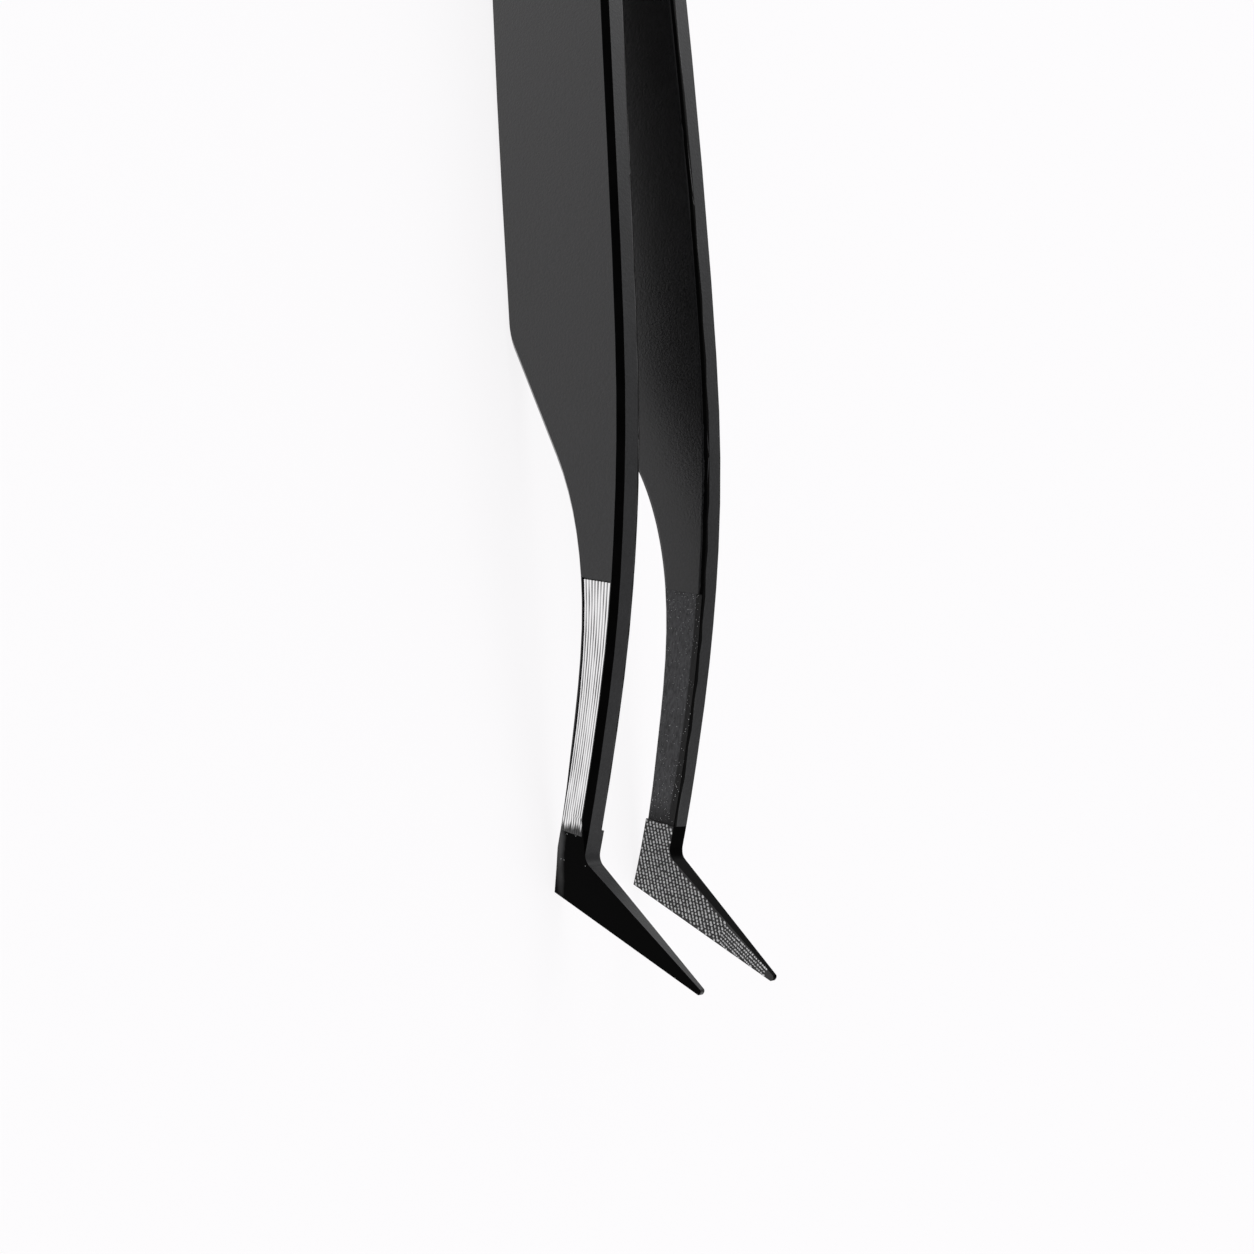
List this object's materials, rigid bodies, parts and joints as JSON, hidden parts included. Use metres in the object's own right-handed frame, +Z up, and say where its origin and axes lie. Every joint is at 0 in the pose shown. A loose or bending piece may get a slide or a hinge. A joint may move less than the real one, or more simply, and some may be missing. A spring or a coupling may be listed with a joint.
{
  "type": "tweezers",
  "caption": "Slim two-armed steel tweezers with a black coating, bowed arms joined at the tail and boot-shaped jaws with a gripping grain.",
  "frame": {"origin": "on the surface the tweezers lie on, under the middle of their bounding box", "axes": "+X along the arms towards the tips, Y across the gap between the arms, +Z up from the rear edges that the tweezers lie on"},
  "size_m": [0.12, 0.0092, 0.0101],
  "materials": {
    "coated_steel": "satin"
  },
  "bodies": {
    "root": {"left_arm": "coated_steel", "right_arm": "coated_steel"}
  },
  "joints": []
}
